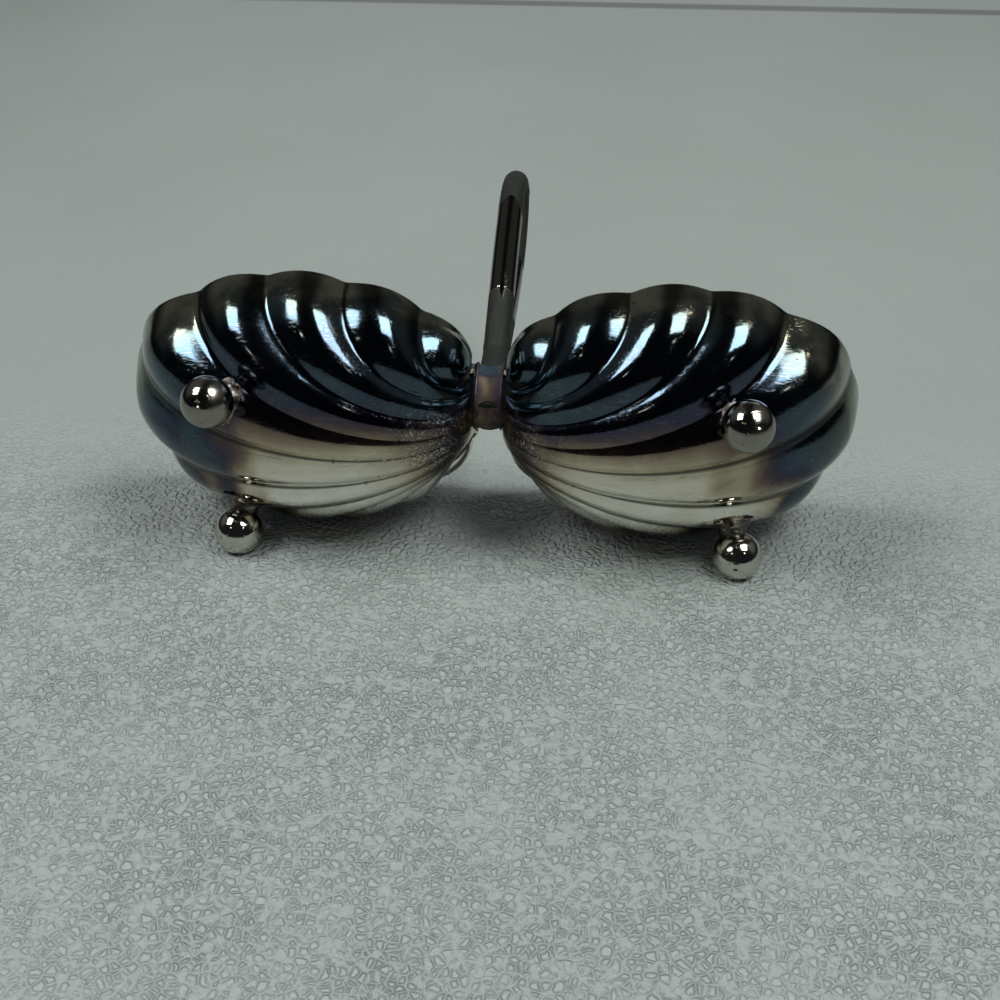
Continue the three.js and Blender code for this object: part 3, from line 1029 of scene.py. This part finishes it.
@dataclass
class LoopHandle:
    """Cast stem that opens into a teardrop loop across the dish."""

    form: BowlForm
    lift: float
    rod: float = 3.55
    stem: float = 3.9
    foot: float = 5.2
    flare: float = 14.0
    loop_start: float = 10.6
    loop_height: float = 74.0
    loop_half_width: float = 9.6
    fullness: float = 0.75
    opening: float = 0.16
    fillet: float = 0.6
    voxel: float = 0.45
    stands_at: float = 1.8
    free_from: float = 2.4
    film: float = 0.50
    dull: float = 0.95
    joint_height: float = 69.5
    joint_edge: float = 0.4
    # V of painted shade where the strands fork, left out of the satin
    fork_shade_depth: float = 4.4
    fork_shade_at: float = 0.3
    fork_shade_opening: float = 0.20
    # Cap of satin with painted reflection of the sheet
    cap_depth: float = 23.2
    cap_edge: float = 0.7
    cap_bow: float = 0.45
    drops: tuple[Triple, ...] = ((-0.72, -8.16, 69.75), (1.12, -8.03, 69.65))
    drop_radius: float = 0.52
    drop_height: float = 0.34
    drop_facing: Triple = (0.0, -0.93, -0.36)

    def loop_line(self, steps: int) -> Array:
        """Middle line of the loop.

        Args:
            steps: number of points.

        Returns:
            Points, heights from the rim plane.
        """
        start = self.opening * math.pi
        turn = np.linspace(start, 2 * math.pi - start, steps)
        rise = (1 - np.cos(turn)) / 2
        widest = math.acos(-self.fullness / (1 + self.fullness))
        full = math.sin(widest) * ((1 - math.cos(widest)) / 2) ** self.fullness
        across = np.sin(turn) * rise ** self.fullness / full * self.loop_half_width
        return np.stack([0 * turn, -across, self.loop_start + self.loop_height * rise], axis=1)

    def stem_radius(self, height: Array) -> Array:
        """Radius of the stem.

        Args:
            height: heights from the rim plane.

        Returns:
            One radius for each height.
        """
        rise = np.clip((height + self.form.throat_depth) / self.flare, 0, 1)
        slimmed = (self.stem - self.rod) * smoothstep(2.0, self.loop_start + self.rod, height)
        return self.stem + (self.foot - self.stem) * (1 - rise) ** 2 - slimmed

    def distance(self, points: Array) -> Array:
        """Distance from the handle's skin, negative inside.

        Args:
            points: positions in millimetres from the rim plane.

        Returns:
            One number for each point.
        """
        line = self.loop_line(241)
        start, step = line[:-1], np.diff(line, axis=0)
        length = (step ** 2).sum(-1)
        best = np.full((2, len(points)), 1e9)
        half = len(start) // 2
        for k in range(len(start)):
            share = np.clip((points - start[k]) @ step[k] / length[k], 0, 1)
            gap = np.linalg.norm(points - start[k] - share[:, None] * step[k], axis=1)
            strand = int(k >= half)
            best[strand] = np.minimum(best[strand], gap)
        strands = best - self.rod
        height = np.minimum(points[:, 2], self.loop_start + self.rod)
        spread = np.hypot(points[:, 0], points[:, 1])
        stem = np.hypot(spread, points[:, 2] - height) - self.stem_radius(points[:, 2])
        return self.merge(self.merge(strands[0], strands[1]), stem)

    def merge(self, first: Array, second: Array) -> Array:
        """Joins two distances with a small fillet."""
        near = np.maximum(self.fillet - np.abs(first - second), 0.0) / self.fillet
        return np.minimum(first, second) - near * near * self.fillet / 4

    def settle(self, points: Array, rounds: int = 4) -> Array:
        """Moves points onto the handle's skin along its slope.

        Args:
            points: positions in millimetres from the rim plane.
            rounds: how often they are moved.

        Returns:
            The moved points.
        """
        small = 0.02
        for _ in range(rounds):
            here = self.distance(points)
            slope = unit(np.stack([self.distance(points + small * axis) - here
                                   for axis in np.eye(3)], axis=1))
            points = points - here[:, None] * slope
        return points

    def rough_mesh(self) -> bpy.types.Mesh:
        """A coarse union of tube and stem, remeshed evenly.

        Returns:
            The mesh.
        """
        sides = 28
        line = self.loop_line(120)
        across = np.eye(3)[0]
        second = np.cross(unit(np.gradient(line, axis=0)), across)
        points = tube(line, np.array(self.rod), across, second, sides)
        faces = [quad[:1] + quad[:0:-1] for quad in grid_quads(len(line), sides, wrapped=True)]
        faces += [tuple(range(sides))[::-1], tuple(range(len(points) - sides, len(points)))]
        low, high = -self.form.throat_depth + self.stands_at, self.loop_start + self.rod
        heights = np.linspace(low, high, 24)
        profile = np.vstack([[0, heights[0]],
                             np.stack([self.stem_radius(heights), heights], axis=1),
                             [0, heights[-1]]])
        more, extra = turned(profile, 40)
        faces += shifted(extra, len(points))
        work = make_piece("handle_work", np.vstack([points, more]), faces)
        even = work.modifiers.new("even", "REMESH")
        even.mode = "VOXEL"
        even.voxel_size = self.voxel * MM
        solid = work.evaluated_get(bpy.context.evaluated_depsgraph_get())
        mesh = bpy.data.meshes.new_from_object(solid)
        bpy.data.objects.remove(work)
        return mesh

    def satin_and_painted_light_share(self, points: Array) -> Array:
        """How much satin, with its painted reflection, the handle has: its lower stem but for a V
        of painted shade where the strands fork, and its cap.

        Args:
            points: positions in millimetres from the rim plane.

        Returns:
            One share for each point.
        """
        height = points[:, 2] + self.lift
        joint, edge = self.joint_height, self.joint_edge
        stem = smoothstep(joint + edge, joint - edge, height)
        # Painted shade: a V without satin where the strands fork, which the dark mirror film shows
        opening = np.maximum(self.fork_shade_opening * (height - joint + self.fork_shade_depth), 0.01)
        fork_shade = np.abs(points[:, 0] - self.fork_shade_at) / opening
        stem = stem * (1 - smoothstep(1.3, 0.7, fork_shade) * (points[:, 1] < 0))
        # The cap gets the satin and its painted reflection of the sheet
        cap = self.loop_start + self.loop_height + self.rod + self.lift - self.cap_depth
        cap = smoothstep(cap - self.cap_edge, cap + self.cap_edge,
                         height + self.cap_bow * points[:, 0] ** 2)
        return np.maximum(stem, cap)

    def build(self, finish: Material) -> Piece:
        """Makes the handle.

        Args:
            finish: its material.

        Returns:
            The handle, standing for its CAD node.
        """
        mesh = self.rough_mesh()
        points = np.array([vertex.co[:] for vertex in mesh.vertices]) / MM
        edges = np.array([edge.vertices[:] for edge in mesh.edges])
        faces = [tuple(face.vertices) for face in mesh.polygons]
        bpy.data.meshes.remove(mesh)
        degree = np.bincount(edges.ravel(), minlength=len(points))[:, None]
        free = points[:, 2:] > -self.form.throat_depth + self.free_from
        for _ in range(5):
            total = np.zeros_like(points)
            np.add.at(total, edges[:, 0], points[edges[:, 1]])
            np.add.at(total, edges[:, 1], points[edges[:, 0]])
            moved = self.settle(0.5 * points + 0.5 * total / degree, rounds=1)
            points = np.where(free, moved, points)
        points = np.where(free, self.settle(points), points)
        # Satin with painted reflection of the sheet on the lower stem and the cap
        satin_painted_reflection = self.satin_and_painted_light_share(points)
        streaks = 0.90 + 0.10 * ripple(points * [3.0, 3.0, 0.3], 5.0, 93)
        film = self.film + 0.03 * ripple(points, 12.0, 91)
        values = {"film": film, "dull": self.dull * satin_painted_reflection, "satin_painted_reflection": satin_painted_reflection * streaks}
        piece = make_piece("loop_handle", points + [0, 0, self.lift], faces, values)
        return dress(piece, finish, "handle_loop")

    def build_beads(self, finish: Material) -> Piece:
        """Makes the two bright drops of solder where the front strand leaves the stem.

        Args:
            finish: their material.

        Returns:
            Both drops as one piece.
        """
        turns = np.linspace(0, math.pi, 13)
        drop = np.stack([self.drop_radius * np.sin(turns), -self.drop_height * np.cos(turns)],
                        axis=1)
        drop[0, 0] = drop[-1, 0] = 0.0
        more, extra = turned(drop, 20)
        lumpy = more * (1 + 0.15 * ripple(more, 0.8, 83)[:, None])
        more = lumpy @ frame_along(np.array(self.drop_facing))
        points = np.vstack([more + place for place in self.drops])
        piece = make_piece("strand_solder", points, extra + shifted(extra, len(more)))
        return dress(piece, finish)


# Feet


@dataclass(frozen=True)
class FootPlace:
    """One foot: CAD ending, quarter, spot on the lobe, dimple's direction, finish and lumps."""

    label: str
    mirror: tuple[int, int]
    spot: tuple[float, float]
    dimple: Triple
    film: float
    haze: float
    seed: int

    def moved(self, points: Array, lift: float) -> Array:
        """Points of the quarter with +X and -Y, taken to this foot's own and lifted."""
        return points * [self.mirror[0], self.mirror[1], 1] + [0, 0, lift]


@dataclass
class BallFeet:
    """Four turned balls, each soldered to its bowl through a collar."""

    form: BowlForm
    radius: float = 6.3
    worn: float = 0.15
    stand_off: float = 0.35
    collar: float = 3.7
    collar_waist: float = 0.10
    collar_flare: float = 3.0
    collar_in_ball: float = 0.6
    collar_in_bowl: float = 1.5
    deepest: float = 0.5
    dimple: float = 0.85
    dimple_depth: float = 0.3
    dimple_lip: float = 0.03
    ring_depth: float = 0.035
    ring_angle: float = 0.52
    clean_film: float = 0.08
    places: tuple[FootPlace, ...] = (
        FootPlace("right_front", (1, 1), (0.31, 0.705), (0.27, -0.72, -0.64), 0.37, 0.19, 200),
        FootPlace("left_front", (-1, 1), (0.32, 0.712), (-0.08, -0.65, -0.76), 0.40, 0.22, 210),
        FootPlace("right_back", (1, -1), (0.32, 0.720), (-0.11, -0.35, -0.93), 0.08, 0.04, 220),
        FootPlace("left_back", (-1, -1), (0.31, 0.715), (0.10, -0.21, -0.97), 0.08, 0.04, 230),
    )

    def level(self) -> float:
        """Height of all ball centres from the rim plane, low enough for every stand-off.

        Returns:
            The height.
        """
        reach = self.radius + self.stand_off
        spots = [self.form.foot_spot(*place.spot) for place in self.places]
        return min(float(point[2] + outward[2] * reach) for point, outward in spots)

    def seat(self, place: FootPlace) -> tuple[Array, Array, float]:
        """Where a foot sits.

        Args:
            place: the foot.

        Returns:
            Ball centre from the rim plane, the skin's outward direction and the centre's
            distance from the skin, all on the quarter with +X and -Y.
        """
        point, outward = self.form.foot_spot(*place.spot)
        away = (self.level() - point[2]) / outward[2]
        return point + outward * away, outward, float(away)

    def lift(self) -> float:
        """Height of the rim plane over the floor."""
        return self.radius - self.worn - self.level()

    def build_ball(self, place: FootPlace, finish: Material) -> Piece:
        """Makes one ball with its dimple, a faint turned ring and a worn flat.

        Args:
            place: which foot.
            finish: its material.

        Returns:
            The ball, standing for its CAD node.
        """
        angles = np.concatenate([np.linspace(0, 0.30, 20), np.linspace(0.30, 1.1, 30)[1:],
                                 np.linspace(1.1, math.pi, 44)[1:]])
        reach = self.dimple / self.radius
        pit = np.clip(1 - (angles / reach) ** 2, 0, 1) * self.dimple_depth
        lip = self.dimple_lip * np.exp(-((angles - 1.15 * reach) / 0.03) ** 2)
        ring = self.ring_depth * np.exp(-((angles - self.ring_angle) / 0.022) ** 2)
        size = self.radius - pit + lip - ring
        profile = np.stack([size * np.sin(angles), -size * np.cos(angles)], axis=1)
        profile[0, 0] = profile[-1, 0] = 0.0
        points, faces = turned(profile, 96)
        points = points @ frame_along(-np.array(place.dimple))
        points[:, 2] = np.maximum(points[:, 2], -self.radius + self.worn)
        centre = place.moved(self.seat(place)[0], self.lift())
        points = points + centre
        right, front = place.mirror
        towards = unit(points - centre) @ unit(np.array([-right * 0.2, 0.3 * front, 1.0]))
        film = place.film + 0.04 * ripple(points, 6.0, 101) + 0.3 * smoothstep(0.75, 0.98, towards)
        # More tarnished balls blend towards the satin colour, partly painted reflection of the
        # sheet
        values = {"film": film, "satin_painted_reflection": 1.2 * (place.film - self.clean_film),
                  "dull": place.haze * smoothstep(-0.7, 0.9, ripple(points, 7.0, 103))}
        piece = make_piece(f"turned_ball_{place.label}", points, faces, values)
        return dress(piece, finish, f"foot_ball_{place.label}")

    def above_sheet(self, points: Array) -> Array:
        """Holds points back that would come out inside the bowl.

        Args:
            points: positions on the quarter with +X and -Y, from the rim plane.

        Returns:
            The points, none of them too deep in the sheet.
        """
        grid = self.form.skin(np.linspace(0, 1, 13)[:-1], np.linspace(0.5, 0.95, 46))
        tree = BVHTree.FromPolygons(grid.reshape(-1, 3).tolist(), grid_quads(*grid.shape[:2]))
        held = points.copy()
        for number, point in enumerate(points):
            place, normal, _, gap = tree.find_nearest(Vector(point))
            facing = np.array(normal) * (1 if normal[2] < 0 else -1)
            depth = -float((point - np.array(place)) @ facing)
            if depth > self.deepest and gap < 4.0:
                held[number] = point + facing * (depth - self.deepest)
        return held

    def build_collar(self, place: FootPlace, finish: Material) -> Piece:
        """Makes one collar of solder, waisted and lumpy.

        Args:
            place: which foot.
            finish: its material.

        Returns:
            The collar, standing for its CAD node.
        """
        centre, outward, away = self.seat(place)
        low = math.sqrt(self.radius ** 2 - (self.collar * 0.92) ** 2) - self.collar_in_ball
        high = away + self.collar_in_bowl
        heights = np.linspace(low, high, 26)
        share = (heights - low) / (high - low)
        radii = self.collar * (0.93 - self.collar_waist * np.sin(share * math.pi))
        radii = radii + self.collar_flare * share ** 2.4
        profile = np.vstack([[0, low], np.stack([radii, heights], axis=1), [0, high]])
        points, faces = turned(profile, 84)
        lumps = 0.24 * ripple(points, 3.4, place.seed) + 0.13 * ripple(points, 1.6, place.seed + 1)
        spread = np.hypot(points[:, 0], points[:, 1])
        points[:, :2] *= (1 + lumps / np.maximum(spread, 1.0))[:, None]
        points = self.above_sheet(points @ frame_along(-outward) + centre)
        piece = make_piece(f"solder_collar_{place.label}", place.moved(points, self.lift()), faces)
        return dress(piece, finish, f"foot_collar_{place.label}")


# Stage


@dataclass(frozen=True)
class Leatherette:
    """Pale grey-green sheet, grained near the camera and see-through from below."""

    far: Triple
    grain_scale: float = 480.0
    grain_warp: float = 0.0022
    grain_depth: float = 0.00095
    sheet_end: float = 0.556
    tones: tuple[tuple[float, Triple], ...] = ((0.3, (0.285, 0.315, 0.290)),
                                               (0.7, (0.310, 0.332, 0.312)))
    # Darker colour of painted shade in the grain's creases
    crease_shade: Triple = (0.16, 0.18, 0.165)
    end_line: Triple = (0.05, 0.055, 0.05)

    def grain(self, graph: Graph, near: Socket) -> tuple[Socket, Socket]:
        """Warped cells with creases between them.

        Args:
            graph: the material's graph.
            near: how near the camera a point is, from 0 to 1.

        Returns:
            The cells' own height and the whole height of the grain.
        """
        place = graph.place()
        warp = graph.add("TexNoise", {"Vector": place, "Scale": 260.0, "Detail": 3.0})
        bent = graph.add("VectorMath", {0: warp.outputs["Color"], 1: (self.grain_warp,) * 3,
                                        2: place}, operation="MULTIPLY_ADD")
        cells = graph.add("TexVoronoi", {"Vector": bent.outputs[0], "Scale": self.grain_scale},
                          feature="DISTANCE_TO_EDGE")
        pebble = graph.remap(cells.outputs["Distance"], 0.0, 0.34)
        patch = graph.remap(graph.noise(place, 35.0), 0.2, 0.8, 0.55, 1.0)
        height = graph.math("MULTIPLY_ADD", graph.noise(place, 1400.0), 0.25, pebble)
        height = graph.math("MULTIPLY", height, patch)
        height = graph.math("MULTIPLY", height, graph.math("MULTIPLY_ADD", near, 0.9, 0.1))
        return pebble, height

    def build(self) -> Material:
        """Makes the material.

        Returns:
            The material.
        """
        paint = Paint("pale_leatherette", 0.0, 0.5)
        graph = paint.graph
        place = graph.place()
        distant = graph.dot(place, self.far)
        near = graph.remap(distant, 0.10, 0.0)
        pebble, height = self.grain(graph, near)
        tone = graph.ramp(graph.noise(place, 9.0, detail=4.0), self.tones)
        # Painted shade in the creases between the grain's cells, near the camera
        crease_shade_share = graph.math("MULTIPLY", graph.remap(pebble, 0.25, 0.0),
                             graph.math("MULTIPLY", near, 0.15))
        tone = graph.blend(crease_shade_share, tone, self.crease_shade)
        # Painted light: the sheet is up to a fifth brighter near the camera
        painted_light = graph.math("MULTIPLY_ADD", near, 0.2, 1.0)
        tone = graph.add("VectorMath", {0: tone, "Scale": painted_light}, operation="SCALE").outputs[0]
        edge = graph.math("ABSOLUTE", graph.math("SUBTRACT", distant, self.sheet_end))
        tone = graph.blend(graph.remap(edge, 0.008, 0.003, 0.0, 0.6), tone, self.end_line)
        paint.set(tone, paint.bump(height, self.grain_depth))
        paint.shader.inputs["Specular IOR Level"].default_value = 0.25
        back = graph.add("NewGeometry").outputs["Backfacing"]
        clear = graph.add("BsdfTransparent").outputs[0]
        shown = graph.add("MixShader", {0: back, 1: paint.shader.outputs[0], 2: clear})
        graph.feed(paint.out.inputs["Surface"], shown.outputs[0])
        return paint.material


@dataclass(frozen=True)
class DimRoom:
    """Dark room with a dim ceiling to the sides, for the metal to mirror."""

    up: Triple
    far: Triple
    radius: float
    dark: Triple = (0.012, 0.012, 0.015)
    lit: Triple = (0.115, 0.118, 0.115)

    def build(self) -> Material:
        """Makes the material.

        Returns:
            The material, which glows by itself.
        """
        material = bpy.data.materials.new("dim_room")
        material.use_nodes = True
        graph = Graph(material.node_tree)
        place = graph.place()
        away, sideways, height = (
            graph.math("DIVIDE", graph.dot(place, axis), self.radius * MM)
            for axis in (self.far, (1, 0, 0), self.up))
        ceiling = graph.math("MULTIPLY", graph.remap(away, -0.30, 0.10),
                             graph.remap(height, 0.10, 0.50))
        wings = graph.remap(graph.math("ABSOLUTE", sideways), 0.10, 0.38, 0.12, 1.0)
        colour = graph.blend(graph.math("MULTIPLY", ceiling, wings), self.dark, self.lit)
        glow = graph.add("Emission", {"Color": colour, "Strength": 1.0})
        graph.add("OutputMaterial", {"Surface": glow.outputs[0]})
        return material


@dataclass(frozen=True)
class Stage:
    """Grained sheet, lamps, dim room and camera. The sheet leans, as the dish lies on its side."""

    up: Triple = (0.0, -0.967, 0.253)
    far: Triple = (0.0, 0.253, 0.967)
    floor_offset: float = -26.4
    floor_size: float = 2400.0
    room_radius: float = 3000.0
    window_radiance: float = 10.6
    small_lamp_radiance: float = 9.0
    panel_radiance: float = 0.4
    cool: Triple = (0.95, 0.985, 1.0)
    warm: Triple = (1.0, 0.80, 0.55)
    sky: Triple = (0.9, 0.95, 1.0)
    sky_strength: float = 0.16
    backdrop: Triple = (0.72, 0.75, 0.73)
    sensor: float = 36.0
    lens: float = 50.4
    camera_place: Triple = (0.0317077, -0.2540524, -0.22255)
    camera_right: Triple = (0.9958630538, 0.0264389499, 0.0869353778)
    camera_down: Triple = (0.0477950157, 0.6612827859, -0.7486125256)
    camera_ahead: Triple = (-0.0772813979, 0.7496706336, 0.6572834446)

    def direction(self, right: float, far: float) -> Vector:
        """Direction over the sheet.

        Args:
            right: its lean from straight up to the right, in degrees.
            far: its lean from straight up away from the camera, in degrees.

        Returns:
            A unit vector.
        """
        angle = math.radians(math.hypot(right, far))
        level = Vector((right, 0, 0)) + Vector(self.far) * far
        aim = Vector(self.up) * math.cos(angle) + level.normalized() * math.sin(angle)
        return aim.normalized()

    def floor(self) -> None:
        """Makes the sheet that the dish lies on, seen from its upper side only."""
        up, far = np.array(self.up), np.array(self.far)
        points = [up * self.floor_offset + (np.eye(3)[0] * x + far * y) * self.floor_size
                  for x, y in ((-1, -1), (1, -1), (1, 1), (-1, 1))]
        floor = make_piece("grained_sheet", np.array(points), [(0, 1, 2, 3)])
        floor.data.materials.append(Leatherette(self.far).build())

    def lamp(self, name: str, towards: Vector, reach: float, size: tuple[float, float],
             radiance: float, colour: Triple, spin: float = 0.0) -> bpy.types.Object:
        """Adds a rectangular lamp that faces the dish.

        Args:
            name: the lamp's name.
            towards: direction from the dish to the lamp.
            reach: distance in metres.
            size: width and height in metres.
            radiance: brightness of its face, where 1 is white.
            colour: its linear colour.
            spin: turn about its own axis, in degrees.

        Returns:
            The lamp.
        """
        data = bpy.data.lights.new(name, "AREA")
        data.shape = "RECTANGLE"
        data.size, data.size_y = size
        data.energy = radiance * math.pi * size[0] * size[1]
        data.color = colour
        lamp = bpy.data.objects.new(name, data)
        lamp.location = towards * reach + Vector((0, 0, 0.04))
        aim = (-towards).to_track_quat("-Z", "Y").to_matrix()
        lamp.rotation_euler = (aim @ Matrix.Rotation(math.radians(spin), 3, "Z")).to_euler()
        bpy.context.scene.collection.objects.link(lamp)
        return lamp

    def lamps(self) -> None:
        """Two window-like lamps overhead, three small warm ones, and a panel for upright views."""
        bright = self.window_radiance
        self.lamp("window_left", self.direction(-35, -9), 1.2, (0.44, 0.56), bright, self.cool, -14)
        self.lamp("window_right", self.direction(26, -9), 1.2, (0.50, 0.60), bright, self.cool, 14)
        for number, (right, far) in enumerate(((37, 8), (34, -36), (-30, -42))):
            self.lamp(f"small_lamp_{number}", self.direction(right, far), 1.3, (0.07, 0.07),
                      self.small_lamp_radiance, self.warm)
        panel = self.lamp("bowl_panel", Vector((0, 0.02, 1)), 1.1, (1.0, 0.8),
                          self.panel_radiance, (1, 1, 1))
        panel.visible_camera = False

    def room(self) -> None:
        """Gives the world a pale background for the camera and for mirror rays."""
        world = bpy.data.worlds.new("studio")
        bpy.context.scene.world = world
        world.use_nodes = True
        graph = Graph(world.node_tree)
        path = graph.add("LightPath").outputs
        seen = graph.math("MAXIMUM", path["Is Camera Ray"], path["Is Glossy Ray"])
        seen = graph.math("MAXIMUM", seen, path["Is Transmission Ray"])
        sky = graph.add("Background", {"Color": self.sky, "Strength": self.sky_strength})
        pale = graph.add("Background", {"Color": self.backdrop, "Strength": 1.0})
        mixed = graph.add("MixShader", {0: seen, 1: sky.outputs[0], 2: pale.outputs[0]})
        graph.add("OutputWorld", {"Surface": mixed.outputs[0]})

    def dome(self) -> None:
        """Makes the room's shell, which only mirror rays see."""
        turns = np.linspace(0, math.pi, 60)
        profile = self.room_radius * np.stack([np.sin(turns), -np.cos(turns)], axis=1)
        profile[0, 0] = profile[-1, 0] = 0.0
        dome = make_piece("room_shell", *turned(profile, 96))
        dome.data.materials.append(DimRoom(self.up, self.far, self.room_radius).build())
        dome.visible_camera = dome.visible_diffuse = dome.visible_shadow = False
        dome.visible_transmission = dome.visible_volume_scatter = False

    def camera(self) -> None:
        """Stands the camera where the photograph was taken from."""
        data = bpy.data.cameras.new("portrait")
        data.sensor_width = self.sensor
        data.lens = self.lens
        data.clip_start, data.clip_end = 0.01, 20.0
        camera = bpy.data.objects.new("portrait", data)
        axes = Vector(self.camera_right), -Vector(self.camera_down), -Vector(self.camera_ahead)
        turn = Matrix(axes).transposed().to_4x4()
        camera.matrix_world = Matrix.Translation(self.camera_place) @ turn
        bpy.context.scene.collection.objects.link(camera)
        bpy.context.scene.camera = camera

    def build(self) -> None:
        """Sets the whole stage."""
        for part in (self.camera, self.floor, self.lamps, self.room, self.dome):
            part()
        bpy.context.scene.view_settings.view_transform = "Standard"


def main() -> None:
    """Loads the frame and builds the dish piece by piece."""
    logging.basicConfig(level=logging.INFO, format="%(name)s %(message)s")
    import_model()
    Stage().build()
    effects = Effects()
    form = BowlForm()
    feet = BallFeet(form)
    lift = feet.lift()
    LOG.info("rim plane at %.2f mm", lift)
    pressed = ShellSilver().build(effects)
    handle_metal = CastSilver("handle_silver", 0.03, 0.06, smear=0.3,
                              tint=(0.105, 0.108, 0.098), tint_share=0.85).build(effects)
    ball_metal = CastSilver("ball_silver", 0.04, 0.05, tint=(0.46, 0.46, 0.43),
                            tint_share=0.6).build(effects)
    saddle_metal = CastSilver("saddle_plate", 0.12, 0.32, mottle=0.14).build(effects)
    drop_metal = CastSilver("bright_solder", 0.05, 0.12).build(effects)
    solder = SolderMetal().build(effects)
    bowls = PressedBowls(form, lift)
    pieces = [bowls.build(side, pressed) for side in Side]
    saddle = Saddle(form, lift)
    pieces.append(saddle.build(saddle_metal))
    pieces += [saddle.build_seam(side, saddle_metal) for side in Side]
    pieces.append(Rivet(form, lift).build(saddle_metal))
    handle = LoopHandle(form, lift)
    pieces += [handle.build(handle_metal), handle.build_beads(drop_metal)]
    for place in feet.places:
        pieces += [feet.build_ball(place, ball_metal), feet.build_collar(place, solder)]
    for piece in pieces:
        LOG.info("%s: %d points", piece.name, len(piece.data.vertices))


if __name__ == "__main__":
    main()
